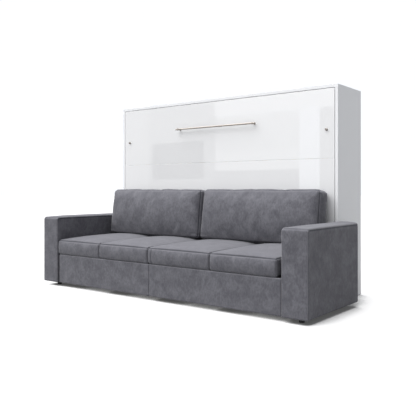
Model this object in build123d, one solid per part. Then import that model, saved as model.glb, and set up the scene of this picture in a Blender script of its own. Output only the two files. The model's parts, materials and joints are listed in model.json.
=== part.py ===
from build123d import *
import os
from math import atan2, cos, degrees, hypot, pi, radians, sin, sqrt

os.makedirs("parts", exist_ok=True)

# Wall bed with sofa. A double bed stands on its long edge in a shallow cabinet against the wall and swings
# down on two pivots, between the arms of a sofa that is fixed to the cabinet, over the seat.
# Millimetres. X runs along the wall, +Y to the wall, +Z up. The origin is on the floor, under the middle.
# Heights are from the floor. Depths are from the cabinet's front plane, + to the wall, until save() puts
# the front plane where it belongs in the frame.

# Cabinet
cabinet_width = 2110.0
cabinet_height = 1520.0
cabinet_depth = 400.0
board_thick = 22.0
rail_board_thick = 18.0
back_rail_height = 100.0
plinth_top = 93.0
glide_height = 4.0
glide_radius = 10.0
glide_inset = 20.0
edge_round = 1.2
dowel_radius = 4.0
dowel_in_rail = 20.0
dowel_in_board = 13.0
dowel_clearance = 0.1
rail_dowel_spacing = 44.0
top_dowel_shares = (0.15, 0.5, 0.85)
wall_hole_spacing_x = 1600.0
wall_hole_spacing_z = 50.0
wall_hole_radius = 4.5
wall_plate_width = 40.0
wall_plate_height = 84.0
wall_plate_thick = 3.0

# Front of the bed
panel_gap = 4.0
front_board_thick = 18.0
front_board_height = 489.0
front_seam = 1.0
front_edge_round = 1.5

# Pivot of the bed: its depth is more than the front boards, so that the pin passes behind them
pivot_depth = 30.0
pivot_height = 449.0
pin_radius = 5.0
bush_wall = 2.0
running_clearance = 0.05
pivot_boss_radius = 11.0
pivot_boss_length = 8.0
pivot_plate_thick = 5.0
pivot_plate_width = 48.0
pivot_plate_height = 120.0
bed_bracket_thick = 5.0
bed_bracket_width = 26.0
bed_bracket_height = 130.0
pin_end_gap = 1.0
screw_radius = 3.0
screw_head_radius = 5.5
screw_head_thick = 2.5
screw_clearance = 0.1
screw_spread_share = 0.72

# Steel frame, slats and mattress
frame_reach = 28.0
frame_edge = 4.0
tube_width = 40.0
side_tube_width = 20.0
tube_depth = 30.0
tube_wall = 2.0
slat_count = 16
slat_width = 53.0
slat_thick = 8.0
slat_spread = 1860.0
holder_floor = 3.0
holder_width = 63.0
holder_length = 34.0
slat_inset = 4.0
slat_clearance = 0.1
mattress_length = 1980.0
mattress_low_gap = 7.0
mattress_high_gap = 12.0
mattress_thick = 124.0
mattress_edge_round = 35.0
mattress_corner_round = 30.0
strap_spacing = 1000.0
strap_width = 50.0
strap_thick = 1.5
soft_clearance = 0.3

# Handle
handle_length = 790.0
handle_drop = 204.0
handle_radius = 6.5
handle_standoff = 34.0
handle_post_inset = 24.0
handle_post_radius = 5.0
handle_foot_radius = 9.0
handle_foot_thick = 3.0
handle_collar_radius = 9.0
handle_collar_length = 8.0

# Locks: a knob turns a crank, whose pin slides a bolt into the cabinet side
knob_offset = 969.0
knob_drop = 287.0
knob_radius = 8.0
knob_length = 10.0
knob_neck_radius = 5.0
knob_neck_length = 3.0
knob_groove_width = 1.5
knob_groove_depth = 1.5
rosette_radius = 9.5
rosette_thick = 1.5
shaft_radius = 4.0
crank_radius = 8.5
crank_pin_radius = 2.0
crank_disc_radius = 12.5
crank_disc_thick = 6.0
crank_pin_play = 0.6
bolt_thick = 6.0
bolt_height = 10.0
bolt_end_gap = 7.5
bolt_clearance = 0.5
yoke_wall = 3.0
housing_wall = 3.0
housing_floor = 2.0
housing_height = 52.0
housing_inner_reach = 28.0
housing_outer_reach = 13.0
bolt_pocket_depth = 8.0

# Gas struts
strut_cabinet_depth = 160.0
strut_cabinet_rise = 260.0
strut_bed_drop = 150.0
strut_body_radius = 9.0
strut_body_length = 215.0
strut_wall = 1.8
strut_rod_radius = 4.0
strut_rod_length = 204.0
strut_piston_length = 10.0
strut_piston_clearance = 0.2
strut_eye_neck = 14.0
strut_neck_radius = 6.0
strut_gland = 6.0
strut_side_gap = 5.0
stud_radius = 4.0
stud_flange_radius = 8.0
stud_flange_thick = 3.0
stud_cap_radius = 6.0
stud_cap_thick = 1.5
stud_gap = 0.3
strut_plate_thick = 3.0
strut_plate_width = 40.0
strut_plate_height = 60.0

# Stops that the lowered bed frame comes up against
stop_width = 40.0
stop_depth = 30.0
stop_height = 26.0
stop_pad_thick = 8.0
stop_gap = 0.3
stop_inset = 13.0

# Sofa
sofa_width = 2432.0
sofa_reach = 755.0
arm_width = 175.0
arm_height = 574.0
arm_back_gap = 33.0
arm_crown = 14.0
arm_round = 14.0
arm_padding = 18.0
arm_board = 15.0
foot_height = 32.0
foot_top_radius = 20.0
foot_bottom_radius = 17.0
foot_inset = 95.0
base_top = 260.0
base_recess = 14.0
base_padding = 19.0
base_round = 9.0
base_board = 18.0
base_seam_share = 0.482
base_seam_gap = 1.0
base_foot_inset = 170.0
deck_thick = 16.0
link_width = 60.0
link_height = 40.0
link_thick = 3.0
link_offset = 300.0
link_raise = 10.0

# Seat cushions: where they meet, as shares of the width between the arms, from the left
seat_seam_shares = (0.0, 0.235, 0.478, 0.741, 0.982)
seat_gap = 1.0
seat_seam_height = 112.0
seat_corner_round = 9.0
seat_back_rise = 10.0
seat_crown = 24.0
seat_pull = 3.0
seat_back_gap = 3.0
seat_station_shares = (0.06, 0.14, 0.24, 0.37, 0.5, 0.63, 0.76, 0.86, 0.94)
crown_end_share = 0.3

# Back cushions: their sides as shares of the width between the arms
back_cushion_shares = ((0.001, 0.4866), (0.4874, 0.9812))
back_cushion_height = 385.0
back_cushion_thick = 150.0
back_cushion_lean = 54.0
back_cushion_back_gap = 12.0
back_cushion_round = 16.0
back_cushion_crown = 16.0
back_cushion_top_crown = 5.0
back_cushion_pull = 3.0
back_station_shares = (0.06, 0.16, 0.28, 0.4, 0.5, 0.6, 0.72, 0.84, 0.94)
round_angles = (0.0, 30.0, 60.0, 90.0)

overrun = 5.0

# Sizes that follow from those above
half_cabinet = cabinet_width / 2
side_inner = half_cabinet - board_thick
panel_half = side_inner - panel_gap
top_underside = cabinet_height - board_thick
panel_top = top_underside - panel_gap
panel_bottom = plinth_top + panel_gap
front_y = (sofa_reach - cabinet_depth) / 2
frame_half = side_inner - frame_reach
frame_low = panel_bottom + frame_edge
frame_high = panel_top - frame_edge
handle_height = panel_top - handle_drop
knob_height = panel_top - knob_drop
mattress_low = frame_low + mattress_low_gap
mattress_high = frame_high - mattress_high_gap
frame_back = front_board_thick + tube_depth
slat_face = frame_back + holder_floor
mattress_face = slat_face + slat_thick + holder_floor
mattress_back = mattress_face + mattress_thick
strut_x = side_inner - strut_side_gap - strut_body_radius
strut_bed_depth = front_board_thick + tube_depth / 2
strut_bed_height = pivot_height - strut_bed_drop
strut_cabinet_height = pivot_height + strut_cabinet_rise
strut_dy = strut_bed_depth - strut_cabinet_depth
strut_dz = strut_bed_height - strut_cabinet_height
strut_length = hypot(strut_dy, strut_dz)
strut_tilt = degrees(atan2(strut_dy, -strut_dz))
bolt_travel = crank_radius * sqrt(2)
crank_offset = bolt_travel / 2
bolt_tip = side_inner - bolt_end_gap
half_sofa = sofa_width / 2
arm_inner = half_sofa - arm_width
arm_back = -arm_back_gap
sofa_front = -sofa_reach
seat_span = 2 * arm_inner
base_front = sofa_front + base_recess


def along(share):
    """X of a share of the width between the arms, from the left arm."""
    return -arm_inner + share * seat_span


def reach(way, near, far):
    """Ends along X of what lies between two distances from the middle: way is 1 on the right, -1 left."""
    return (near, far) if way > 0 else (-far, -near)


def span(x, y, z):
    """A box between the low and high ends that each axis is given."""
    middle = Pos((x[0] + x[1]) / 2, (y[0] + y[1]) / 2, (z[0] + z[1]) / 2)
    return middle * Box(x[1] - x[0], y[1] - y[0], z[1] - z[0])


def around(middle, size):
    return (middle - size / 2, middle + size / 2)


def bar_x(x, y, z, radius):
    return Pos((x[0] + x[1]) / 2, y, z) * Rot(0, 90, 0) * Cylinder(radius, x[1] - x[0])


def bar_y(x, y, z, radius):
    return Pos(x, (y[0] + y[1]) / 2, z) * Rot(90, 0, 0) * Cylinder(radius, y[1] - y[0])


def bar_z(x, y, z, radius):
    return Pos(x, y, (z[0] + z[1]) / 2) * Cylinder(radius, z[1] - z[0])


def longer(ends, extra):
    return (ends[0] - extra, ends[1] + extra)


def cut_all(shape, cutters):
    for cutter in cutters:
        shape = shape - cutter
    return shape


def save(name, *shapes):
    """Write one node, of one solid or a group of them, with the cabinet front put in its place."""
    solids = [solid for shape in shapes for solid in shape.solids()]
    whole = solids[0] if len(solids) == 1 else Compound(children=solids)
    export_step(whole.moved(Location((0, front_y, 0))), "parts/" + name + ".step")


def save_pair(name, build):
    """Two nodes, left and right, of what build makes for each side."""
    save(name + "_left", build(-1))
    save(name + "_right", build(1))


def save_both(name, build):
    """One node that groups the left and the right piece."""
    save(name, build(-1), build(1))


# Cabinet
plate_y = around(pivot_depth, pivot_plate_width)
plate_z = around(pivot_height, pivot_plate_height)
rail_x = (-side_inner, side_inner)
back_y = (cabinet_depth - rail_board_thick, cabinet_depth)
back_top_z = (top_underside - back_rail_height, top_underside)
back_bottom_z = (glide_height, glide_height + back_rail_height)
plinth_y = (0, rail_board_thick)
plinth_z = (glide_height, plinth_top)


def rail_dowels(way, clearance):
    """Dowels from the ends of the three rails into a side."""
    x = reach(way, side_inner - dowel_in_rail - clearance, side_inner + dowel_in_board + clearance)
    pieces = []
    for y, z in ((plinth_y, plinth_z), (back_y, back_top_z), (back_y, back_bottom_z)):
        for height in around((z[0] + z[1]) / 2, rail_dowel_spacing):
            pieces.append(bar_x(x, (y[0] + y[1]) / 2, height, dowel_radius + clearance))
    return pieces


def top_dowels(way, clearance):
    """Dowels that stand in a side and hold the top."""
    x = way * (half_cabinet - board_thick / 2)
    z = (top_underside - dowel_in_rail - clearance, top_underside + dowel_in_board + clearance)
    return [bar_z(x, share * cabinet_depth, z, dowel_radius + clearance) for share in top_dowel_shares]


def plate_screws(way, clearance, depth, height, spread, head_end):
    """Two screws into a side, one above the other: the head ends at a distance from the middle."""
    pieces = []
    for level in around(height, spread):
        x = reach(way, head_end, half_cabinet - screw_head_thick + clearance)
        shank = bar_x(x, depth, level, screw_radius + clearance)
        x = reach(way, head_end - clearance, head_end + screw_head_thick + clearance)
        pieces.append(shank + bar_x(x, depth, level, screw_head_radius + clearance))
    return pieces


def pivot_screws(way, clearance):
    spread = screw_spread_share * pivot_plate_height
    return plate_screws(way, clearance, pivot_depth, pivot_height, spread, side_inner)


def strut_screws(way, clearance):
    spread = screw_spread_share * strut_plate_height
    head_end = side_inner - strut_plate_thick
    return plate_screws(way, clearance, strut_cabinet_depth, strut_cabinet_height, spread, head_end)


def cabinet_side(way):
    side = span(reach(way, side_inner, half_cabinet), (0, cabinet_depth), (glide_height, top_underside))
    side = fillet(side.edges().filter_by(Axis.Z).sort_by(Axis.Y)[0:2], edge_round)
    side = side - span(reach(way, side_inner, side_inner + pivot_plate_thick), plate_y, plate_z)
    pocket_x = reach(way, side_inner - overrun, side_inner + bolt_pocket_depth)
    side = side - span(pocket_x, bolt_way_y, bolt_way_z)
    cutters = rail_dowels(way, dowel_clearance) + top_dowels(way, dowel_clearance)
    cutters += pivot_screws(way, screw_clearance) + strut_screws(way, screw_clearance)
    return cut_all(side, cutters)


def dowels(way):
    return Compound(children=rail_dowels(way, 0) + top_dowels(way, 0))


def glides(way):
    x = way * (half_cabinet - board_thick / 2)
    depths = (glide_inset, cabinet_depth - glide_inset)
    return Compound(children=[bar_z(x, depth, (0, glide_height), glide_radius) for depth in depths])


def cabinet_rail(y, z):
    rail = span(rail_x, y, z)
    return cut_all(rail, rail_dowels(-1, dowel_clearance) + rail_dowels(1, dowel_clearance))


crank_plane = front_board_thick + housing_floor + crank_disc_thick + bolt_clearance
bolt_y = (crank_plane, crank_plane + bolt_thick)
bolt_z = around(knob_height, bolt_height)
bolt_way_y = longer(bolt_y, bolt_clearance)
bolt_way_z = longer(bolt_z, bolt_clearance)
save_pair("cabinet_side", cabinet_side)

top = span((-half_cabinet, half_cabinet), (0, cabinet_depth), (top_underside, cabinet_height))
top_edges = top.edges().filter_by(Axis.X).sort_by(Axis.Y)[0:2]
top_edges += top.edges().filter_by(Axis.Y).group_by(Axis.Z)[-1]
top = fillet(top_edges, edge_round)
save("cabinet_top", cut_all(top, top_dowels(-1, dowel_clearance) + top_dowels(1, dowel_clearance)))
save("cabinet_plinth", cabinet_rail(plinth_y, plinth_z))
save("cabinet_back_rail_bottom", cabinet_rail(back_y, back_bottom_z))

back_top = cabinet_rail(back_y, back_top_z)
wall_hole_height = (back_top_z[0] + back_top_z[1]) / 2
wall_plate_y = (back_y[0] - wall_plate_thick, back_y[0])
wall_plate_z = around(wall_hole_height, wall_plate_height)
wall_plates = []
for hole_x in around(0, wall_hole_spacing_x):
    wall_plate = span(around(hole_x, wall_plate_width), wall_plate_y, wall_plate_z)
    for hole_z in around(wall_hole_height, wall_hole_spacing_z):
        hole = bar_y(hole_x, longer(back_y, overrun), hole_z, wall_hole_radius)
        back_top = back_top - hole
        wall_plate = wall_plate - hole
    wall_plates.append(wall_plate)
save("cabinet_back_rail_top", back_top)
save("wall_plates", *wall_plates)
save_both("cabinet_glides", glides)
save_both("cabinet_dowels", dowels)

# Pivots: a pin on a plate let into each side, and a bushed bracket on the bed frame
frame_middle = front_board_thick + tube_depth / 2
bush_bore = pin_radius + running_clearance
boss_ends = (frame_half, frame_half + bed_bracket_thick + pivot_boss_length)


def pivot_plate(way):
    plate = span(reach(way, side_inner, side_inner + pivot_plate_thick), plate_y, plate_z)
    pin_x = reach(way, frame_half + pin_end_gap, side_inner + pivot_plate_thick)
    plate = plate + bar_x(pin_x, pivot_depth, pivot_height, pin_radius)
    return cut_all(plate, pivot_screws(way, screw_clearance))


def bracket_screws(way, clearance):
    """Screws from the bed's bracket into the side tube."""
    bracket_face = frame_half + bed_bracket_thick
    pieces = []
    for level in around(pivot_height, screw_spread_share * bed_bracket_height):
        x = reach(way, frame_half - tube_wall - screw_radius - clearance, bracket_face)
        shank = bar_x(x, frame_middle, level, screw_radius + clearance)
        head_x = reach(way, bracket_face, bracket_face + screw_head_thick)
        pieces.append(shank + bar_x(head_x, frame_middle, level, screw_head_radius))
    return pieces


def bed_bracket(way):
    x = reach(way, frame_half, frame_half + bed_bracket_thick)
    bracket = span(x, around(frame_middle, bed_bracket_width), around(pivot_height, bed_bracket_height))
    boss_x = reach(way, *boss_ends)
    bracket = bracket + bar_x(boss_x, pivot_depth, pivot_height, pivot_boss_radius)
    bracket = bracket - bar_x(longer(boss_x, overrun), pivot_depth, pivot_height, bush_bore + bush_wall)
    return cut_all(bracket, bracket_screws(way, screw_clearance))


def pivot_bush(way):
    boss_x = reach(way, *boss_ends)
    bush = bar_x(boss_x, pivot_depth, pivot_height, bush_bore + bush_wall)
    return bush - bar_x(longer(boss_x, overrun), pivot_depth, pivot_height, bush_bore)


def screws_in_cabinet(way):
    return Compound(children=pivot_screws(way, 0) + strut_screws(way, 0))


def screws_in_frame(way):
    return Compound(children=bracket_screws(way, 0))


save_both("pivot_plates", pivot_plate)
save_both("bed_pivot_brackets", bed_bracket)
save_both("pivot_bushes", pivot_bush)
save_both("cabinet_screws", screws_in_cabinet)
save_both("bracket_screws", screws_in_frame)

# Bed frame: four outer tubes and one in the middle, behind the front boards
frame_y = (front_board_thick, frame_back)
lower_z = (frame_low, frame_low + tube_width)
upper_z = (frame_high - tube_width, frame_high)
side_tube_inner = frame_half - side_tube_width
middle_rail_x = (-side_tube_inner, side_tube_inner)
middle_z = around((frame_low + frame_high) / 2, tube_width)


def tube_along_x(x, y, z):
    return span(x, y, z) - span(longer(x, overrun), longer(y, -tube_wall), longer(z, -tube_wall))


def side_tube(way):
    x = reach(way, side_tube_inner, frame_half)
    z = (lower_z[1], upper_z[0])
    tube = span(x, frame_y, z) - span(longer(x, -tube_wall), longer(frame_y, -tube_wall), longer(z, overrun))
    tube = tube - span(longer(x, overrun), bolt_way_y, bolt_way_z)
    return cut_all(tube, bracket_screws(way, screw_clearance))


save("bed_rail_lower", tube_along_x((-frame_half, frame_half), frame_y, lower_z))
save("bed_rail_upper", tube_along_x((-frame_half, frame_half), frame_y, upper_z))
save("bed_rail_middle", tube_along_x(middle_rail_x, (front_board_thick, slat_face), middle_z))
save_pair("bed_rail_side", side_tube)

# Slats in their holders
slats = []
holders = []
slat_ends = (frame_low + holder_floor + slat_inset, frame_high - holder_floor - slat_inset)
for index in range(slat_count):
    slat_x = -slat_spread / 2 + index * slat_spread / (slat_count - 1)
    slat_sides = around(slat_x, slat_width)
    slats.append(span(slat_sides, (slat_face, slat_face + slat_thick), slat_ends))
    socket_y = (slat_face, slat_face + slat_thick + slat_clearance)
    socket = span(longer(slat_sides, slat_clearance), socket_y, slat_ends)
    for low in (frame_low + holder_floor, frame_high - holder_floor - holder_length):
        block = span(around(slat_x, holder_width), (frame_back, mattress_face), (low, low + holder_length))
        holders.append(block - socket)
save("bed_slats", *slats)
save("slat_holders", *holders)


# Mattress, with its straps
def mattress_profile(margin):
    """The mattress's section across the bed, swollen by a margin on the sides and the sleeping face."""
    low = mattress_low - margin
    high = mattress_high + margin
    back = mattress_back + margin
    outline = Polyline((mattress_face, low), (back, low), (back, high), (mattress_face, high), close=True)
    face = make_face(Plane.YZ * outline)
    return fillet(face.vertices().group_by(Axis.Y)[-1], mattress_edge_round + margin)


mattress = extrude(mattress_profile(0), mattress_length / 2, both=True)
mattress = fillet(mattress.edges().filter_by(Axis.Y), mattress_corner_round)
straps = []
for strap_x in around(0, strap_spacing):
    ring = mattress_profile(soft_clearance + strap_thick) - mattress_profile(soft_clearance)
    straps.append(Pos(strap_x, 0, 0) * extrude(ring, strap_width / 2, both=True))
save("mattress", mattress)
save("mattress_straps", *straps)

# Front boards
seam_heights = (panel_top - front_board_height, panel_top - 2 * front_board_height)
board_spans = {
    "front_board_top": (seam_heights[0] + front_seam / 2, panel_top),
    "front_board_middle": (seam_heights[1] + front_seam / 2, seam_heights[0] - front_seam / 2),
    "front_board_bottom": (panel_bottom, seam_heights[1] - front_seam / 2),
}
for name, board_z in board_spans.items():
    board = span((-panel_half, panel_half), (0, front_board_thick), board_z)
    board = fillet(board.edges().filter_by(Axis.X).sort_by(Axis.Y)[0:2], front_edge_round)
    if name == "front_board_top":
        for hole_x in around(0, 2 * knob_offset):
            hole_y = longer((0, front_board_thick), overrun)
            board = board - bar_y(hole_x, hole_y, knob_height, shaft_radius + bolt_clearance)
    save(name, board)

# Handle: a bar held by two posts, each with a collar round the bar
handle_y = -handle_standoff
handle_bar = bar_x(around(0, handle_length), handle_y, handle_height, handle_radius)
save("handle_bar", chamfer(handle_bar.edges().filter_by(GeomType.CIRCLE), edge_round))
posts = []
for post_x in around(0, handle_length - 2 * handle_post_inset):
    collar_x = around(post_x, handle_collar_length)
    post = bar_x(collar_x, handle_y, handle_height, handle_collar_radius)
    post = post + bar_y(post_x, (handle_y, 0), handle_height, handle_post_radius)
    post = post + bar_y(post_x, (-handle_foot_thick, 0), handle_height, handle_foot_radius)
    posts.append(post - bar_x(longer(collar_x, overrun), handle_y, handle_height, handle_radius))
save("handle_posts", *posts)

# Locks: the crank stands at the inner end of its stroke
crank_high = knob_height + crank_offset
slot_half = crank_pin_radius + crank_pin_play
slot_top = knob_height + crank_radius + slot_half
knob_back = -rosette_thick - bolt_clearance
knob_front = knob_back - knob_length
disc_y = (front_board_thick + housing_floor, crank_plane - bolt_clearance)
cavity_y = (disc_y[0] - bolt_clearance, bolt_y[1] + bolt_clearance)


def lock_rosette(way):
    rosette = bar_y(way * knob_offset, (-rosette_thick, 0), knob_height, rosette_radius)
    rosette = chamfer(rosette.edges().group_by(Axis.Y)[0], rosette_thick / 2)
    return rosette - bar_y(way * knob_offset, (-overrun, overrun), knob_height, shaft_radius + bolt_clearance)


def lock_knob(way):
    x = way * knob_offset
    neck_front = knob_back - knob_neck_length
    knob = fillet(bar_y(x, (knob_front, neck_front), knob_height, knob_radius).edges(), edge_round)
    knob = knob + bar_y(x, (neck_front, knob_back), knob_height, knob_neck_radius)
    knob = knob + bar_y(x, (knob_back, disc_y[1]), knob_height, shaft_radius)
    knob = knob + bar_y(x, disc_y, knob_height, crank_disc_radius)
    pin_x = way * (knob_offset - crank_offset)
    knob = knob + bar_y(pin_x, (disc_y[0], bolt_y[1]), crank_high, crank_pin_radius)
    groove_y = (knob_front - overrun, knob_front + knob_groove_depth)
    return knob - span(around(x, knob_radius), groove_y, around(knob_height, knob_groove_width))


def lock_bolt(way):
    slot_ends = around(knob_offset - crank_offset, 2 * slot_half)
    yoke_ends = longer(slot_ends, yoke_wall)
    yoke = span(reach(way, *yoke_ends), bolt_y, (bolt_z[0], slot_top + yoke_wall))
    bolt = yoke + span(reach(way, yoke_ends[0], bolt_tip), bolt_y, bolt_z)
    slot = span(reach(way, *slot_ends), longer(bolt_y, overrun), (crank_high - slot_half, slot_top))
    return bolt - slot


def lock_housing(way):
    ends = (knob_offset - housing_inner_reach, knob_offset + housing_outer_reach)
    z = around(knob_height, housing_height)
    outer = span(reach(way, *longer(ends, housing_wall)), (front_board_thick, cavity_y[1] + housing_wall), z)
    housing = outer - span(reach(way, *ends), cavity_y, longer(z, -housing_wall))
    bolt_way_x = reach(way, ends[1] - overrun, ends[1] + housing_wall + overrun)
    housing = housing - span(bolt_way_x, bolt_way_y, bolt_way_z)
    shaft_y = (front_board_thick - overrun, cavity_y[1])
    return housing - bar_y(way * knob_offset, shaft_y, knob_height, shaft_radius + bolt_clearance)


save_both("lock_rosettes", lock_rosette)
save_both("lock_housings", lock_housing)
save_pair("lock_knob", lock_knob)
save_pair("lock_bolt", lock_bolt)


# Gas struts: drawn hanging down from their upper eye, then tilted to the bed's stud
def placed_strut(way, shape):
    return Pos(way * strut_x, strut_cabinet_depth, strut_cabinet_height) * Rot(strut_tilt, 0, 0) * shape


eye_x = (-strut_body_radius, strut_body_radius)
body_z = (-strut_eye_neck - strut_body_length, -strut_eye_neck)
bore_radius = strut_body_radius - strut_wall
rod_low = -strut_length + strut_eye_neck
rod_z = (rod_low, rod_low + strut_rod_length)
stud_bore = stud_radius + running_clearance


def strut_cylinder(way):
    body = bar_x(eye_x, 0, 0, strut_body_radius) + bar_z(0, 0, (body_z[1], 0), strut_neck_radius)
    body = body + bar_z(0, 0, body_z, strut_body_radius)
    body = body - bar_z(0, 0, (body_z[0] + strut_gland, body_z[1] - strut_gland), bore_radius)
    gland_z = (body_z[0] - overrun, body_z[0] + strut_gland + overrun)
    body = body - bar_z(0, 0, gland_z, strut_rod_radius + running_clearance)
    return placed_strut(way, body - bar_x(longer(eye_x, overrun), 0, 0, stud_bore))


def strut_rod(way):
    rod = bar_x(eye_x, 0, -strut_length, strut_body_radius)
    rod = rod + bar_z(0, 0, (-strut_length, rod_low), strut_neck_radius)
    rod = rod + bar_z(0, 0, rod_z, strut_rod_radius)
    piston_z = (rod_z[1] - strut_piston_length, rod_z[1])
    rod = rod + bar_z(0, 0, piston_z, bore_radius - strut_piston_clearance)
    socket_x = (eye_x[0] - overrun, 0) if way > 0 else (0, eye_x[1] + overrun)
    return placed_strut(way, rod - bar_x(socket_x, 0, -strut_length, stud_bore))


def strut_plate(way):
    y = around(strut_cabinet_depth, strut_plate_width)
    z = around(strut_cabinet_height, strut_plate_height)
    plate = span(reach(way, side_inner - strut_plate_thick, side_inner), y, z)
    plate = cut_all(plate, strut_screws(way, screw_clearance))
    stud_x = reach(way, stud_end, side_inner - strut_plate_thick)
    plate = plate + bar_x(stud_x, strut_cabinet_depth, strut_cabinet_height, stud_radius)
    cap_x = reach(way, stud_end - stud_cap_thick, stud_end)
    return plate + bar_x(cap_x, strut_cabinet_depth, strut_cabinet_height, stud_cap_radius)


def strut_bed_stud(way):
    flange_x = reach(way, frame_half, frame_half + stud_flange_thick)
    flange = bar_x(flange_x, frame_middle, strut_bed_height, stud_flange_radius)
    return flange + bar_x(reach(way, frame_half, stud_end), frame_middle, strut_bed_height, stud_radius)


stud_end = strut_x - strut_body_radius - stud_gap
save_pair("strut_cylinder", strut_cylinder)
save_pair("strut_rod", strut_rod)
save_both("strut_plates", strut_plate)
save_both("strut_bed_studs", strut_bed_stud)

# Stops for the lowered bed
lowered_back = pivot_height + frame_back - pivot_depth
lowered_reach = pivot_depth + pivot_height - frame_low
stop_y = (lowered_reach - stop_inset - stop_depth, lowered_reach - stop_inset)
pad_z = (lowered_back + stop_gap, lowered_back + stop_gap + stop_pad_thick)


def stop_pad(way):
    return span(reach(way, side_inner - stop_width, side_inner), stop_y, pad_z)


def stop_block(way):
    return span(reach(way, side_inner - stop_width, side_inner), stop_y, (pad_z[1], pad_z[1] + stop_height))


save_both("bed_stops", stop_block)
save_both("stop_pads", stop_pad)

# Sofa arms: a board box, its padded cover and its bottom board
arm_edge_height = arm_height - arm_crown
arm_length = sofa_reach - arm_back_gap
arm_low = (arm_inner + arm_padding, half_sofa - arm_padding)
box_y = (sofa_front + arm_padding, arm_back - arm_padding)
box_z = (foot_height, arm_edge_height - arm_padding)
room = longer(arm_low, -arm_board)
room_y = longer(box_y, -arm_board)


def arm_cover(way):
    x = reach(way, arm_inner, half_sofa)
    edge = arm_edge_height
    lid = ThreePointArc((x[1], edge), ((x[0] + x[1]) / 2, arm_height), (x[0], edge))
    sides = Polyline((x[0], edge), (x[0], foot_height), (x[1], foot_height), (x[1], edge))
    face = make_face(Curve([lid, sides]))
    face = fillet(face.vertices().group_by(Axis.Y)[-1], arm_round)
    cover = extrude(Plane((0, arm_back, 0), x_dir=(1, 0, 0), z_dir=(0, -1, 0)) * face, arm_length)
    cover = fillet(cover.faces().sort_by(Axis.Y)[0].edges(), arm_round - edge_round)
    return cover - span(reach(way, *arm_low), box_y, (foot_height - overrun, box_z[1]))


def arm_frame(way):
    frame = span(reach(way, *arm_low), box_y, box_z)
    return frame - span(reach(way, *room), room_y, (foot_height - overrun, box_z[1] - arm_board))


def arm_bottom(way):
    return span(reach(way, *room), room_y, (foot_height, foot_height + arm_board))


save_pair("arm_cover", arm_cover)
save_both("arm_frames", arm_frame)
save_both("arm_bottoms", arm_bottom)

# Sofa base: two modules of boards, each with a deck and a padded front
base_seam = along(base_seam_share)
module_spans = {
    "left": (-arm_inner, base_seam - base_seam_gap / 2),
    "right": (base_seam + base_seam_gap / 2, arm_inner),
}
board_y = (base_front + base_padding, base_front + base_padding + base_board)
rear_y = (arm_back - base_board, arm_back)
between_y = (board_y[1], rear_y[0])
board_z = (foot_height, base_top - deck_thick)
long_boards = []
cross_boards = []
decks = []
foot_places = [(base_seam, base_front + base_foot_inset), (base_seam, arm_back - foot_inset)]
for name, module_x in module_spans.items():
    middle_x = (module_x[0] + module_x[1]) / 2
    long_boards.append(span(module_x, board_y, board_z))
    long_boards.append(span(module_x, rear_y, board_z))
    cross_boards.append(span((module_x[0], module_x[0] + base_board), between_y, board_z))
    cross_boards.append(span(around(middle_x, base_board), between_y, board_z))
    cross_boards.append(span((module_x[1] - base_board, module_x[1]), between_y, board_z))
    decks.append(span(module_x, (board_y[0], arm_back), (board_z[1], base_top)))
    cover = span(module_x, (base_front, board_y[0]), (foot_height, base_top))
    save("base_cover_" + name, fillet(cover.faces().sort_by(Axis.Y)[0].edges(), base_round))
    foot_places.append((middle_x, base_front + base_foot_inset))
    foot_places.append((middle_x, arm_back - foot_inset))
save("base_long_boards", *long_boards)
save("base_cross_boards", *cross_boards)
save("seat_decks", *decks)

for arm_middle in around(0, 2 * arm_inner + arm_width):
    foot_places.append((arm_middle, sofa_front + foot_inset))
    foot_places.append((arm_middle, arm_back - foot_inset))
foot = Cone(foot_bottom_radius, foot_top_radius, foot_height)
save("sofa_feet", *[Pos(x, y, foot_height / 2) * foot for x, y in foot_places])

# Brackets between the sofa's back boards and the cabinet's plinth
links = []
link_z = (foot_height + link_raise, foot_height + link_raise + link_height)
for link_middle in around(0, 2 * link_offset):
    link_x = around(link_middle, link_width)
    web = span(link_x, (arm_back, 0), (link_z[0], link_z[0] + link_thick))
    on_plinth = span(link_x, (-link_thick, 0), link_z)
    on_sofa = span(link_x, (arm_back, arm_back + link_thick), link_z)
    links.append(web + on_plinth + on_sofa)
save("sofa_brackets", *links)


def stations(length, end_round, shares):
    """Places along a cushion, each with how far its outline is drawn in: a quarter round at both ends."""
    rounds = []
    for angle in round_angles:
        turn = radians(angle)
        rounds.append((end_round * (1 - cos(turn)), end_round * (1 - sin(turn))))
    middle = [(share * length, 0) for share in shares]
    return rounds + middle + [(length - place, inset) for place, inset in reversed(rounds)]


def swell(share):
    """How much of its crown a cushion has at a share of its length."""
    return crown_end_share + (1 - crown_end_share) * sin(pi * share)


def seat_edge(share):
    """Height of the seam along the sides of the seat cushions, at a share of their depth."""
    return base_top + seat_seam_height + seat_back_rise * sqrt(share)


# Seat cushions: crowned, with their sides drawn in between the corners
def seat_section(x, y, inset, edge, crown):
    low = base_top + soft_clearance + inset
    left = x[0] + inset
    right = x[1] - inset
    lid = ThreePointArc((right, edge), ((left + right) / 2, edge + crown), (left, edge))
    rest = Polyline((left, edge), (left, low), (right, low), (right, edge))
    face = fillet(make_face(Curve([lid, rest])).vertices(), seat_corner_round)
    return Plane((0, y, 0), x_dir=(1, 0, 0), z_dir=(0, -1, 0)) * face


seat_y = (sofa_front, arm_back - seat_back_gap)
seat_depth = seat_y[1] - seat_y[0]
for index in range(len(seat_seam_shares) - 1):
    seams = (along(seat_seam_shares[index]), along(seat_seam_shares[index + 1]))
    seat_x = longer(seams, -seat_gap / 2)
    sections = []
    for place, drawn in stations(seat_depth, seat_corner_round, seat_station_shares):
        share = place / seat_depth
        inset = drawn + seat_pull * sin(pi * share)
        crown = seat_crown * swell(share)
        sections.append(seat_section(seat_x, seat_y[0] + place, inset, seat_edge(share) - drawn, crown))
    save("seat_cushion_" + str(index + 1), loft(sections, ruled=True))


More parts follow.
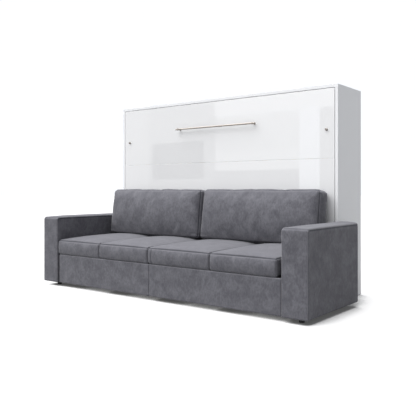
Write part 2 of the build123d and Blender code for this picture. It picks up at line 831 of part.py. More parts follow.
# Back cushions: they lean on the front boards and stand on the seat where their flat underside begins
top_back = -back_cushion_back_gap
low_back = top_back - back_cushion_lean
rest_share = (low_back - back_cushion_thick + back_cushion_round - sofa_front) / seat_depth
back_cushion_rest = seat_edge(rest_share) + seat_crown * swell(rest_share) + soft_clearance


def back_section(x, inset, crown, top_crown):
    low_y = (low_back - back_cushion_thick + inset, low_back - inset / 2)
    top_y = (top_back - back_cushion_thick + inset, top_back - inset / 2)
    low = back_cushion_rest
    high = back_cushion_rest + back_cushion_height - inset
    front_y_middle = (low_y[0] + top_y[0]) / 2 - crown
    front = ThreePointArc((low_y[0], low), (front_y_middle, (low + high) / 2), (top_y[0], high))
    lid = ThreePointArc((top_y[0], high), ((top_y[0] + top_y[1]) / 2, high + top_crown), (top_y[1], high))
    rest = Polyline((top_y[1], high), (low_y[1], low), (low_y[0], low))
    face = fillet(make_face(Curve([front, lid, rest])).vertices(), back_cushion_round)
    return Plane((x, 0, 0), x_dir=(0, 1, 0), z_dir=(1, 0, 0)) * face


for name, shares in zip(("left", "right"), back_cushion_shares):
    ends = (along(shares[0]), along(shares[1]))
    width = ends[1] - ends[0]
    sections = []
    for place, drawn in stations(width, back_cushion_round, back_station_shares):
        share = place / width
        inset = drawn + back_cushion_pull * sin(pi * share)
        crown = back_cushion_crown * swell(share)
        sections.append(back_section(ends[0] + place, inset, crown, back_cushion_top_crown * swell(share)))
    save("back_cushion_" + name, loft(sections, ruled=True))
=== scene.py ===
import json
import math

import bpy
import numpy as np
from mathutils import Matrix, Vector


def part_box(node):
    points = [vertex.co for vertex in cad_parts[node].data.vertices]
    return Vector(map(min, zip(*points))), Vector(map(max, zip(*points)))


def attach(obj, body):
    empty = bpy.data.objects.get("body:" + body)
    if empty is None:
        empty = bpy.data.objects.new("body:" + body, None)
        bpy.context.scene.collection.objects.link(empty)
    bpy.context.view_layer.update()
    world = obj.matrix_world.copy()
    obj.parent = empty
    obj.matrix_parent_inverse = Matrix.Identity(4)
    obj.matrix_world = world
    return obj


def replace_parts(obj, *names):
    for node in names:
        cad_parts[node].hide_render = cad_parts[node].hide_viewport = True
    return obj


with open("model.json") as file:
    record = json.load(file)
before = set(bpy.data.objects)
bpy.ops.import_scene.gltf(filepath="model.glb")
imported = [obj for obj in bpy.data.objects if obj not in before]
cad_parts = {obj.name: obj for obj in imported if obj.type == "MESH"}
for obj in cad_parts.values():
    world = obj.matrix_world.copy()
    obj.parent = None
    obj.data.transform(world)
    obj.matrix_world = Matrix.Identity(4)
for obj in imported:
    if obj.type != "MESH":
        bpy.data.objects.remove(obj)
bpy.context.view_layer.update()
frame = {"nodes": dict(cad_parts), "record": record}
nodes = frame["nodes"]
scene = bpy.context.scene
print("frame loaded:", len(nodes), "nodes")


# shader formulas

class Wire:
    # a shader socket in a formula: every operator adds one Math node to its material
    def __init__(self, finish, socket):
        self.finish, self.socket = finish, socket

    def math(self, operation, *others):
        values = dict(enumerate((self,) + others))
        return self.finish.add("ShaderNodeMath", {"operation": operation}, values)

    def __add__(self, other):
        return self.math("ADD", other)

    def __sub__(self, other):
        return self.math("SUBTRACT", other)

    def __rsub__(self, other):
        return self.finish.add("ShaderNodeMath", {"operation": "SUBTRACT"}, {0: other, 1: self})

    def __mul__(self, other):
        return self.math("MULTIPLY", other)

    __radd__ = __add__
    __rmul__ = __mul__

    def between(self, low, high):
        # 0 below low, 1 above high, smooth between them
        limits = {"Value": self, "From Min": low, "From Max": high}
        return self.finish.add("ShaderNodeMapRange", {"interpolation_type": "SMOOTHSTEP"}, limits)


fixedSockets = {             # what stays the same all over a surface
    "metallic": "Metallic",
    "specular": "Specular IOR Level",
    "sheen": "Sheen Weight",
    "sheenRoughness": "Sheen Roughness",
    "coat": "Coat Weight",
    "coatRoughness": "Coat Roughness",
    "coatIor": "Coat IOR",
}


class Finish:
    # one material under construction
    def __init__(self, name):
        self.material = bpy.data.materials.new(name)
        self.material.use_nodes = True
        self.tree = self.material.node_tree
        self.tree.nodes.clear()
        self.place = Wire(self, self.tree.nodes.new("ShaderNodeTexCoord").outputs["Object"])

    def add(self, kind, settings=None, values=None, output=0):
        # a node by its type: its settings first, then its sockets, each a value or a Wire
        node = self.tree.nodes.new(kind)
        for key, value in (settings or {}).items():
            if key == "stops":
                ramp = node.color_ramp.elements
                while len(ramp) < len(value):
                    ramp.new(0.5)
                for element, (position, color) in zip(ramp, value):
                    element.position, element.color = position, color + (1,)
            else:
                setattr(node, key, value)
        for key, value in (values or {}).items():
            if isinstance(value, Wire):
                self.tree.links.new(value.socket, node.inputs[key])
            else:
                node.inputs[key].default_value = value
        return Wire(self, node.outputs[output])

    def stretched(self, scale):
        return self.add("ShaderNodeMapping", None, {"Vector": self.place, "Scale": scale})

    def noise(self, scale, detail=3.0, roughness=0.55, distortion=0.0, vector=None):
        values = {"Vector": vector or self.place, "Scale": scale, "Detail": detail}
        values.update({"Roughness": roughness, "Distortion": distortion})
        return self.add("ShaderNodeTexNoise", None, values)

    def mixed(self, first, second, share):
        # two patterns added, the first with its share and the second with the rest
        return first * share + second * (1 - share)

    def ranged(self, pattern, look):
        # roughness over the look's range: its first number where the pattern is 0, its second where it is 1
        least, most = look["roughness"]
        return pattern * (most - least) + least

    def mark(self, name):
        # a number per point that the mesh carries
        return self.add("ShaderNodeAttribute", {"attribute_name": name}, None, "Fac")

    def blend(self, amount, low, high):
        # the first colour where amount is 0, the second where it is 1
        low, high = [end if isinstance(end, Wire) else end + (1,) for end in (low, high)]
        return self.add("ShaderNodeMix", {"data_type": "RGBA"}, {0: amount, 6: low, 7: high}, 2)

    def bump(self, height, strength, distance):
        return self.add("ShaderNodeBump", None, {"Height": height, "Strength": strength, "Distance": distance})

    def shown(self, shader):
        end = self.tree.nodes.new("ShaderNodeOutputMaterial")
        self.tree.links.new(shader.socket, end.inputs["Surface"])
        return self.material

    def surface(self, color, roughness, normal=None, **constants):
        # the last node: color, roughness and normal may vary, the constants are plain numbers
        values = {"Base Color": color, "Roughness": roughness}
        if normal:
            values["Normal"] = normal
        for key, value in constants.items():
            values[fixedSockets[key]] = value
        return self.shown(self.add("ShaderNodeBsdfPrincipled", None, values))


velourLook = {
    "dark": (0.080, 0.079, 0.092),
    "mid": (0.108, 0.107, 0.122),
    "light": (0.147, 0.146, 0.164),
    "stops": (0.12, 0.5, 0.9),   # where the three tones stand on the nap's scale from 0 to 1
    "patchScale": 12.0,      # brushed patches of the nap, per metre
    "strokeScale": 85.0,     # smaller strokes inside them
    "strokeRun": 0.55,       # less than 1 draws the strokes out upwards
    "grainScale": 900.0,     # single tufts
    "patchShare": 0.46,
    "strokeShare": 0.34,
    "grainShare": 0.20,
    "contrast": (0.3, 0.7),  # the part of a noise that is spread over the whole scale
    "upRange": (-0.45, 0.9),     # upward part of the normal, from the darkest to the palest faces of the painted light and shade
    "flatRange": (0.2, 0.9),     # and from the liveliest to the calmest nap
    "paintedUnderShade": 0.90,      # painted shade: faces that look down are darker
    "paintedTopLight": 0.24,         # and painted light makes faces that look up paler by this
    "calm": 0.6,             # how much less the nap varies on faces that look up
    # painted shade along the seam grooves, and how much of it is mixed in
    "seamShadow": (0.020, 0.020, 0.028),
    "seamShare": 0.85,
    # painted highlight on rounded edges, and how much of it is mixed in
    "rimHighlight": (0.235, 0.235, 0.255),
    "rimShare": 0.30,
    "roughness": 0.94,
    "polish": 0.12,          # how much smoother the brushed patches are
    "tuft": 0.0012,
    "tuftStrength": 0.25,
    "sheen": 0.20,
    "sheenRoughness": 0.45,
    "specular": 0.25,
}


def velour(name):
    # brushed pile: broad patches of turned nap, upright strokes inside them and a fine grain, with painted
    # shade along the seams, a painted highlight on the edges, and painted light and shade by how far a face
    # looks up
    look = velourLook
    f = Finish(name)
    patches = f.noise(look["patchScale"], detail=4.0, roughness=0.6, distortion=0.6)
    upright = f.stretched((1.0, 1.0, look["strokeRun"]))
    strokes = f.noise(look["strokeScale"], roughness=0.6, distortion=0.5, vector=upright)
    grain = f.noise(look["grainScale"], detail=2.0, roughness=0.5)
    facing = f.add("ShaderNodeNewGeometry", None, None, "Normal")
    facing = f.add("ShaderNodeSeparateXYZ", None, {0: facing}, "Z")
    up, flat = facing.between(*look["upRange"]), facing.between(*look["flatRange"])
    nap = patches.between(*look["contrast"]) * look["patchShare"]
    nap = nap + strokes.between(*look["contrast"]) * look["strokeShare"] + grain * look["grainShare"]
    nap = (nap - 0.5) * (1 - flat * look["calm"]) + 0.5
    stops = list(zip(look["stops"], (look["dark"], look["mid"], look["light"])))
    pile = f.add("ShaderNodeValToRGB", {"stops": stops}, {0: nap})
    # painted highlight: the rim mark makes rounded edges paler
    rimHighlighted = f.blend(f.mark("rim") * look["rimShare"], pile, look["rimHighlight"])
    # painted light and shade: faces that look up are made paler, faces that look down darker
    shade = up * look["paintedTopLight"] + look["paintedUnderShade"]
    paintedUpDownLight = f.add("ShaderNodeVectorMath", {"operation": "SCALE"}, {0: rimHighlighted, "Scale": shade})
    # painted shade along the seams, from the seam mark
    color = f.blend(f.mark("seam") * look["seamShare"], paintedUpDownLight, look["seamShadow"])
    normal = f.bump(f.mixed(grain, strokes, 0.5), look["tuftStrength"], look["tuft"])
    constants = {key: look[key] for key in ("sheen", "sheenRoughness", "specular")}
    return f.surface(color, nap * -look["polish"] + look["roughness"], normal, **constants)


slantingBands = {"wave_type": "BANDS", "bands_direction": "DIAGONAL"}
knitLook = {
    "dark": (0.47, 0.46, 0.445),
    "light": (0.58, 0.57, 0.555),
    "ribScale": 160.0,
    "ribWander": 1.2,
    "weaveScale": 1200.0,
    "ribShare": 0.5,
    "roughness": (0.82, 0.92),
    "stitch": 0.0012,
    "stitchStrength": 0.4,
    "sheen": 0.15,
    "specular": 0.3,
}


def knit(name):
    # stretch cover of a mattress: small ribs crossed by a fine weave
    look = knitLook
    f = Finish(name)
    values = {"Vector": f.place, "Scale": look["ribScale"], "Distortion": look["ribWander"], "Detail": 1.0}
    ribs = f.add("ShaderNodeTexWave", slantingBands, values)
    tone = f.mixed(ribs, f.noise(look["weaveScale"], detail=2.0), look["ribShare"])
    color = f.blend(tone, look["dark"], look["light"])
    normal = f.bump(tone, look["stitchStrength"], look["stitch"])
    return f.surface(color, f.ranged(tone, look), normal, sheen=look["sheen"], specular=look["specular"])


webbingLook = {
    "dark": (0.018, 0.018, 0.022),
    "light": (0.05, 0.05, 0.058),
    "ribScale": 420.0,
    "ribWander": 0.6,
    "roughness": (0.65, 0.80),
    "thread": 0.0008,
    "threadStrength": 0.5,
    "sheen": 0.1,
}


def webbing(name):
    # woven strap: one close slanting rib
    look = webbingLook
    f = Finish(name)
    values = {"Vector": f.place, "Scale": look["ribScale"], "Distortion": look["ribWander"]}
    weave = f.add("ShaderNodeTexWave", slantingBands, values)
    color = f.blend(weave, look["dark"], look["light"])
    normal = f.bump(weave, look["threadStrength"], look["thread"])
    return f.surface(color, f.ranged(weave, look), normal, sheen=look["sheen"])


lacquerLook = {
    "dark": (0.825, 0.827, 0.835),
    "light": (0.855, 0.857, 0.862),
    "peelScale": 420.0,
    "peel": 0.0002,
    "peelStrength": 0.004,
    "cloudScale": 1.6,
    "roughness": (0.03, 0.05),
    "coat": 1.0,
    "coatRoughness": 0.0,
    "coatIor": 2.2,          # high, so that the front mirrors more than plain varnish would
}


def lacquer(name):
    # sprayed and polished white: a faint orange peel under a clear coat
    look = lacquerLook
    f = Finish(name)
    peel = f.noise(look["peelScale"], detail=2.0)
    color = f.blend(f.noise(look["cloudScale"], detail=2.0), look["dark"], look["light"])
    normal = f.bump(peel, look["peelStrength"], look["peel"])
    coat = {key: look[key] for key in ("coat", "coatRoughness", "coatIor")}
    return f.surface(color, f.ranged(peel, look), normal, **coat)


laminateLook = {
    "dark": (0.775, 0.782, 0.795),
    "light": (0.815, 0.820, 0.830),
    "poreScale": 260.0,
    "poreRun": 0.12,         # less than 1 draws the pores out upwards
    "pore": 0.0006,
    "poreStrength": 0.06,
    "cloudScale": 2.0,
    "cloudShare": 0.6,
    "roughness": (0.36, 0.48),
    "specular": 0.4,
}


def laminate(name):
    # white melamine face: a shallow pore pattern, satin
    look = laminateLook
    f = Finish(name)
    pores = f.noise(look["poreScale"], roughness=0.6, vector=f.stretched((1.0, 1.0, look["poreRun"])))
    tone = f.mixed(f.noise(look["cloudScale"], detail=2.0), pores, look["cloudShare"])
    color = f.blend(tone, look["dark"], look["light"])
    normal = f.bump(pores, look["poreStrength"], look["pore"])
    return f.surface(color, f.ranged(pores, look), normal, specular=look["specular"])


timberLook = {
    "across": 14.0,          # stretch of the patterns across the grain,
    "ringRun": 0.7,          # along it for the rings
    "poreRun": 3.0,          # and along it for the pores
    "ringScale": 1.8,
    "ringShare": 0.7,
    "contrast": (0.3, 0.7),
    "poreScale": 16.0,
    "pore": 0.0006,
    "poreStrength": 0.15,
    "dulled": 0.2,           # how much rougher the pores are
}


def timber(name, low, high, along, roughness):
    # growth rings stretched along the grain, with pores
    look = timberLook
    f = Finish(name)
    scale = [look["across"]] * 3
    scale[along] = look["ringRun"]
    lengthwise = f.stretched(tuple(scale))
    rings = f.noise(look["ringScale"], detail=4.0, roughness=0.6, distortion=1.4, vector=lengthwise)
    scale[along] = look["poreRun"]
    pores = f.noise(look["poreScale"], roughness=0.6, vector=f.stretched(tuple(scale)))
    tone = f.mixed(rings.between(*look["contrast"]), pores, look["ringShare"])
    normal = f.bump(pores, look["poreStrength"], look["pore"])
    return f.surface(f.blend(tone, low, high), pores * look["dulled"] + roughness, normal)


powderLook = {
    "grainScale": 700.0,
    "grain": 0.0006,
    "grainStrength": 0.18,
    "cloudScale": 9.0,
    "dulled": 0.15,
    "specular": 0.5,
}


def powderCoat(name, low, high, roughness):
    # baked paint: a fine pebbled skin and a faint cloud
    look = powderLook
    f = Finish(name)
    grain = f.noise(look["grainScale"], detail=2.0)
    color = f.blend(f.noise(look["cloudScale"], detail=2.0), low, high)
    normal = f.bump(grain, look["grainStrength"], look["grain"])
    return f.surface(color, grain * look["dulled"] + roughness, normal, specular=look["specular"])


metalLook = {
    "scratchScale": 900.0,
    "scratchRun": 0.03,
    "scratch": 0.0003,
    "scratchStrength": 0.08,
    "scratchShare": 0.6,
    "cloudScale": 24.0,
    "dulled": 0.16,
}


def brushedMetal(name, low, high, along, roughness):
    # satin metal: fine scratches that run one way
    look = metalLook
    f = Finish(name)
    scale = [1.0] * 3
    scale[along] = look["scratchRun"]
    scratches = f.noise(look["scratchScale"], roughness=0.7, vector=f.stretched(tuple(scale)))
    tone = f.mixed(scratches, f.noise(look["cloudScale"], detail=2.0), look["scratchShare"])
    color = f.blend(tone, low, high)
    normal = f.bump(scratches, look["scratchStrength"], look["scratch"])
    return f.surface(color, scratches * look["dulled"] + roughness, normal, metallic=1.0)


zincLook = {
    "dark": (0.50, 0.51, 0.53),
    "light": (0.68, 0.69, 0.70),
    "flakeScale": 180.0,
    "flakeEdge": 0.8,
    "roughness": (0.28, 0.42),
}


def zincPlate(name):
    # plated steel: small flakes, each with its own tone
    look = zincLook
    f = Finish(name)
    values = {"Vector": f.place, "Scale": look["flakeScale"]}
    flakes = f.add("ShaderNodeTexVoronoi", {"feature": "F1"}, values, "Distance")
    tone = flakes.between(0.0, look["flakeEdge"])
    return f.surface(f.blend(tone, look["dark"], look["light"]), f.ranged(tone, look), metallic=1.0)


mouldedLook = {"sparkScale": 1100.0, "spark": 0.0005, "sparkStrength": 0.25, "dulled": 0.15}


def moulded(name, low, high, roughness):
    # moulded plastic or rubber: fine spark texture
    look = mouldedLook
    f = Finish(name)
    spark = f.noise(look["sparkScale"], detail=2.0)
    normal = f.bump(spark, look["sparkStrength"], look["spark"])
    return f.surface(f.blend(spark, low, high), spark * look["dulled"] + roughness, normal)


cushionVelour = velour("cushion velour")
plainTones = {               # darkest and palest tone of the plain finishes
    "steel": ((0.30, 0.31, 0.33), (0.34, 0.35, 0.37)),
    "plastic": ((0.012, 0.012, 0.013), (0.03, 0.03, 0.031)),
    "nickel": ((0.24, 0.215, 0.19), (0.36, 0.33, 0.30)),
    "strut": ((0.010, 0.010, 0.011), (0.018, 0.018, 0.02)),
    "chrome": ((0.72, 0.72, 0.74), (0.82, 0.82, 0.84)),
    "rubber": ((0.010, 0.010, 0.010), (0.022, 0.022, 0.022)),
    "lining": ((0.010, 0.010, 0.012), (0.022, 0.022, 0.025)),
}
woods = {
    "board": ((0.42, 0.31, 0.19), (0.55, 0.43, 0.29)),
    "birch": ((0.60, 0.44, 0.26), (0.74, 0.58, 0.38)),
}
finishes = {
    "cabinet_laminate": laminate("cabinet laminate"),
    "front_gloss": lacquer("front lacquer"),
    "plain_board": timber("raw board", *woods["board"], along=0, roughness=0.62),
    "frame_steel": powderCoat("grey powder coat", *plainTones["steel"], roughness=0.42),
    "slat_birch": timber("birch slats", *woods["birch"], along=2, roughness=0.34),
    "black_plastic": moulded("black plastic", *plainTones["plastic"], roughness=0.45),
    "nickel": brushedMetal("satin nickel", *plainTones["nickel"], along=0, roughness=0.30),
    "zinc": zincPlate("zinc plate"),
    "strut_black": powderCoat("black strut paint", *plainTones["strut"], roughness=0.28),
    "strut_chrome": brushedMetal("ground chrome", *plainTones["chrome"], along=2, roughness=0.06),
    "stop_rubber": moulded("stop rubber", *plainTones["rubber"], roughness=0.7),
    "deck_cloth": moulded("deck lining", *plainTones["lining"], roughness=0.8),
    "mattress_cloth": knit("mattress knit"),
    "strap_web": webbing("strap webbing"),
    "upholstery": cushionVelour,
}
for part in frame["record"]["subparts"]:
    node = nodes[part["node"]]
    node.data.materials.clear()
    node.data.materials.append(finishes[part["material_slot"]])
print("materials made:", len(bpy.data.materials))


# meshes

def addMesh(name, points, quads, finish, body):
    # a closed mesh from arrays of points and quads that rides on a body of the frame
    mesh = bpy.data.meshes.new(name)
    mesh.from_pydata(points.tolist(), [], quads.tolist())
    mesh.polygons.foreach_set("use_smooth", np.ones(len(mesh.polygons), bool))
    mesh.materials.append(finish)
    mesh.update()
    piece = bpy.data.objects.new(name, mesh)
    scene.collection.objects.link(piece)
    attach(piece, body)
    return piece


def boxShell(counts):
    # six grids of whole numbers (i, j, k) on the faces of a box, joined along their edges, faces outwards
    places, quads, start = [], [], 0
    for axis in range(3):
        a, b = (axis + 1) % 3, (axis + 2) % 3
        for side in (0, 1):
            i, j = np.meshgrid(np.arange(counts[a]), np.arange(counts[b]), indexing="ij")
            grid = np.zeros(i.shape + (3,), int)
            grid[..., a], grid[..., b], grid[..., axis] = i, j, side * (counts[axis] - 1)
            index = np.arange(i.size).reshape(i.shape) + start
            corners = [index[:-1, :-1], index[1:, :-1], index[1:, 1:], index[:-1, 1:]]
            quads.append(np.stack(corners[::1 if side else -1], -1).reshape(-1, 4))
            places.append(grid.reshape(-1, 3))
            start += i.size
    places = np.concatenate(places)
    key = np.ravel_multi_index(places.T, counts)
    first, back = np.unique(key, return_index=True, return_inverse=True)[1:]
    return places[first], back[np.concatenate(quads)]


gridLook = {
    "border": 0.008,         # depth of the two close rows beside a rounding
    "borderShare": 0.3,      # and the most that they take of a thin box
    "rimRange": 0.29,        # by so much a normal's largest part falls from a face to the line of an edge
    "onFace": 0.99,          # a share beyond this lies on the face itself
    "tiny": 1e-9,
}
onFace, tiny = gridLook["onFace"], gridLook["tiny"]


def stationsAlong(half, look):
    # from -half to half: tan-spaced within the rounding, so that arcs come out even, then two close rows, and
    # even spacing in the middle
    turn = look["rounding"] * np.tan(np.linspace(0, math.pi / 4, look["roundRows"] + 1))[1:]
    flat = half - look["rounding"]
    border = min(gridLook["border"], flat * gridLook["borderShare"])
    count = max(3, int(round(2 * (flat - border) / look["spacing"])) + 1)
    middle = np.linspace(border - flat, flat - border, count)
    edge = np.concatenate([[flat - border / 2, flat], flat + turn])
    return np.concatenate([-edge[::-1], middle, edge])


class BoxForm:
    # A box with rounded edges as a grid: q runs over the box, and a point beyond the flat part is put back
    # to the rounding's radius from it. share holds q as -1 to 1 along each axis.
    def __init__(self, low, high, look, extra=()):
        self.low, self.high = np.array(low, float), np.array(high, float)
        self.middle, self.half = (self.low + self.high) / 2, (self.high - self.low) / 2
        self.rounding = rounding = look["rounding"]
        lines = [stationsAlong(half, look) for half in self.half]
        if len(extra):
            lines[0] = np.sort(np.concatenate([lines[0], np.array(extra) - self.middle[0]]))
        index, self.quads = boxShell(tuple(len(line) for line in lines))
        self.q = np.stack([line[index[:, axis]] for axis, line in enumerate(lines)], 1)
        inner = np.clip(self.q, rounding - self.half, self.half - rounding)
        out = self.q - inner
        self.normal = out / np.linalg.norm(out, axis=1, keepdims=True)
        self.share = np.clip(self.q / self.half, -1, 1)
        self.points = self.middle + inner + rounding * self.normal

    def inset(self, axis, side):
        # how far a point lies from the box's end across an axis, along the surface: arc first, then the flat
        q = self.q[:, axis] * side
        flat = self.half[axis] - self.rounding
        arc = self.rounding * (math.pi / 4 - np.arctan(np.clip(q - flat, 0, None) / self.rounding))
        return arc + np.clip(flat - q, 0, None)

    def fromSeam(self, axis, side):
        # how far a point lies from the seam round the face across an axis
        own = self.inset(axis, side)
        others = [self.inset(other, way) for other in range(3) if other != axis for way in (-1, 1)]
        return np.where(own > tiny, own, np.minimum.reduce(others))

    def rim(self):
        # 1 on the line of a rounded edge, 0 on a flat face
        return np.clip((1 - np.abs(self.normal).max(1)) / gridLook["rimRange"], 0, 1)


def seamLine(form, seams, width):
    # 1 on the seams round the named faces, falling as a bell over width
    line = np.zeros(len(form.points))
    for axis, side in seams:
        line = np.maximum(line, np.exp(-(form.fromSeam(axis, side) / width) ** 2))
    return line


def ripple(points, waves):
    # sum of plain waves: each is (direction and number per metre, phase, height)
    total = np.zeros(len(points))
    for direction, phase, height in waves:
        total += height * np.sin(points @ np.array(direction) * 2 * math.pi + phase)
    return total


def bell(x):
    # 1 less x squared: 1 at 0, falling smoothly to 0 at -1 and 1. A power below 1 makes it fuller.
    return np.clip(1 - x * x, 0, 1)


def near(share, power):
    # a share from 0 to 1, to a power: the higher the power, the closer to the face of share 1 it stays
    return np.clip(share, 0, 1) ** power


clothLook = {
    "quality": 5,            # solver steps in one frame
    "mass": 0.3,
    "shearShare": 0.4,       # stiffness against shear as a share of that against stretch
    "holdSteps": 10,         # hold is rounded to tenths
}


def puffed(piece, hold, look):
    # Cloth pumped up for some frames. hold is how firmly each point stays, and cap times the tanh of a move
    # over cap keeps every move below cap.
    mesh = piece.data
    rest = np.empty(len(mesh.vertices) * 3, np.float32)
    mesh.vertices.foreach_get("co", rest)
    rest = rest.reshape(-1, 3)
    group = piece.vertex_groups.new(name="hold")
    steps = clothLook["holdSteps"]
    for step in range(1, steps + 1):
        group.add(np.flatnonzero(np.round(hold * steps) == step).tolist(), step / steps, "REPLACE")
    cloth = piece.modifiers.new("cloth", "CLOTH")
    cloth.settings.quality = clothLook["quality"]
    cloth.settings.mass = clothLook["mass"]
    cloth.settings.tension_stiffness = cloth.settings.compression_stiffness = look["stiffness"]
    cloth.settings.shear_stiffness = look["stiffness"] * clothLook["shearShare"]
    cloth.settings.bending_stiffness = look["bending"]
    cloth.settings.shrink_min = -look["spare"]
    cloth.settings.use_pressure = True
    cloth.settings.uniform_pressure_force = look["pressure"]
    cloth.settings.vertex_group_mass = group.name
    cloth.settings.effector_weights.gravity = 0
    cloth.collision_settings.use_collision = False
    cloth.point_cache.frame_start, cloth.point_cache.frame_end = 1, look["frames"]
    for moment in range(1, look["frames"] + 1):
        scene.frame_set(moment)
    shaped = piece.evaluated_get(bpy.context.evaluated_depsgraph_get())
    moved = np.empty(rest.size, np.float32)
    shaped.data.vertices.foreach_get("co", moved)
    piece.modifiers.remove(cloth)
    piece.vertex_groups.clear()
    scene.frame_set(1)
    shift = moved.reshape(-1, 3) - rest
    length = np.linalg.norm(shift, axis=1, keepdims=True) + tiny
    return (rest + shift * look["cap"] * np.tanh(length / look["cap"]) / length).astype(float)


def softPiece(name, form, points, finish, body, look,
              hold=None, within=None, seams=(), line=0, rim=None):
    # A sewn piece: pumped up where hold is given, kept within its space, and drawn in along its seams.
    piece = addMesh(name, points, form.quads, finish, body)
    p = puffed(piece, hold, look) if hold is not None else points
    if within is not None:
        p = np.clip(p, within[0], within[1])
    stitched = np.maximum(seamLine(form, seams, look["seamWidth"]), line)
    p = p - form.normal * (stitched * look["seamDepth"])[:, None]
    mesh = piece.data
    mesh.vertices.foreach_set("co", p.astype(np.float32).ravel())
    # the seam mark carries painted shade along the seams and the rim mark a painted highlight on the edges
    for key, values in (("seam", stitched), ("rim", form.rim() if rim is None else rim)):
        mesh.attributes.new(key, "FLOAT", "POINT").data.foreach_set("value", values.astype(np.float32))
    mesh.update()
    return piece


seatLook = {
    "rounding": 0.016,
    "roundRows": 6,          # rows of the grid in half a rounding
    "topDrop": 0.028,        # from the box's top to the seam round the top
    "crown": 0.025,          # how far the foam lifts the middle of the top
    "crownAcross": 0.7,      # powers of the crown's bells
    "crownAlong": 0.5,
    "topPower": 12,          # how closely crown, bulge and draw stay to their faces
    "frontPower": 40,
    "sidePower": 8,
    "backRise": 0.009,       # how much higher the top is at its rear
    "bulge": 0.013,          # how full the front band is between its seams
    "bulgeAcross": 0.2,      # power of its bell
    "sideDraw": 0.0015,      # how far the sides pull in between the corners
    "drawAlong": 0.5,        # power of its bell
    "pieced": 3,             # the cushion whose front band is pieced, and where
    "pieceX": -0.007,
    "pieceRow": 0.003,       # how far from that seam the grid's rows beside it stand
    "pieceShare": 0.8,       # how deep it is and how dark its painted shade, beside the others
    "spacing": 0.0125,
    "baseHold": 0.8,         # how firmly the cover stays above the deck, fading over holdRun
    "holdRun": 0.05,
    "looseHold": 0.12,       # the least hold anywhere
    "seamHold": 0.8,
    "seamHoldWidth": 0.010,
    "pressure": 0.9,
    "stiffness": 15.0,
    "bending": 2.5,
    "spare": 0.002,          # share by which the cover is cut larger than its filling
    "cap": 0.006,
    "frames": 16,
    "frontSpace": 0.004,     # how far the cover may stand out of the solid
    "topSpace": 0.005,
    "seamWidth": 0.0026,
    "seamDepth": 0.0035,
    "fill": 0.85,
}


def seatCushion(number):
    # Box cushion: its top rises by crown times a bell across and a bell along, and by backRise with the root
    # of y. The front band bulges by a bell across and a bell up, and the sides draw in by a bell along.
    look = seatLook
    name = "seat_cushion_" + str(number)
    low, high = np.array(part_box(name))
    pieced = number == look["pieced"]
    seamX, row = look["pieceX"], look["pieceRow"]
    start, end = (low[0], low[1] + look["bulge"], low[2]), (high[0], high[1], high[2] - look["topDrop"])
    form = BoxForm(start, end, look, (seamX - row, seamX, seamX + row) if pieced else ())
    x, y, z = form.share.T
    p = form.points.copy()
    p[:, 2] += np.clip((z + 1) / 2, 0, 1) * look["backRise"] * np.sqrt(np.clip((y + 1) / 2, 0, 1))
    across, along = bell(x) ** look["crownAcross"], bell(y) ** look["crownAlong"]
    p[:, 2] += near(z, look["topPower"]) * look["crown"] * across * along
    p[:, 1] -= near(-y, look["frontPower"]) * bell(z) * bell(x) ** look["bulgeAcross"] * look["bulge"]
    side = np.sign(x) * near(np.abs(x), look["sidePower"])
    p[:, 0] -= side * look["sideDraw"] * bell(y) ** look["drawAlong"]
    hold = np.clip(1 - look["baseHold"] * form.fromSeam(2, -1) / look["holdRun"], look["looseHold"], 1)
    hold[z < -onFace] = 1
    hold = np.maximum(hold, look["seamHold"] * seamLine(form, [(2, 1)], look["seamHoldWidth"]))
    line = np.exp(-((p[:, 0] - seamX) / look["seamWidth"]) ** 2) * (y < -onFace) * pieced * look["pieceShare"]
    within = (low - (0, look["frontSpace"], 0), high + (0, 0, look["topSpace"]))
    piece = softPiece("seatCushion" + str(number), form, p, cushionVelour, "root", look,
                      hold, within, [(2, 1)], line)
    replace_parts(piece, name)


for number in (1, 2, 3, 4):
    seatCushion(number)
print("seat cushions made")


backLook = {
    "rounding": 0.027,
    "roundRows": 7,
    "recess": 0.024,         # how far the front seam stands behind the fullest point
    "crown": 0.038,          # how far the filling pushes the front out in its middle
    "crownFlat": 3,          # a power of x that keeps the crown full up to near the sides
    "crownAcross": 0.8,      # powers of the crown's bells
    "crownUpward": 0.85,
    "frontPower": 6,         # how closely crown, top line and draw stay to their faces
    "topPower": 4,
    "sidePower": 6,
    "lean": 0.050,
    "topFall": 0.018,        # how much lower the top is at its rear
    "topRise": 0.004,        # and how far its front rises over the solid
    "topWaves": [((2.3,), 0.8, 0.0012), ((5.1,), 2.0, 0.0008)],
    "sideGap": 0.001,
    "sideDraw": 0.004,       # how far the sides pull in between the corners
    "taper": 0.012,          # share by which the top is narrower
    "thick": 0.130,
    "cornerDraw": 0.006,
    "cornerPowers": (12, 6),     # how closely it stays to the sides, and to top and bottom
    "cornerShare": 0.8,      # of it that goes up and down
    "spacing": 0.0125,
    "seamHold": 0.30,
    "seamHoldWidth": 0.008,
    "holdRun": 0.03,         # height over which the hold on the seat fades
    "pressure": 2.0,
    "stiffness": 10.0,
    "bending": 2.0,
    "spare": 0.008,
    "cap": 0.010,
    "frames": 20,
    "frontSpace": 0.008,
    "topSpace": 0.009,
    "seamWidth": 0.003,
    "seamDepth": 0.0035,
    "fill": 0.7,
}


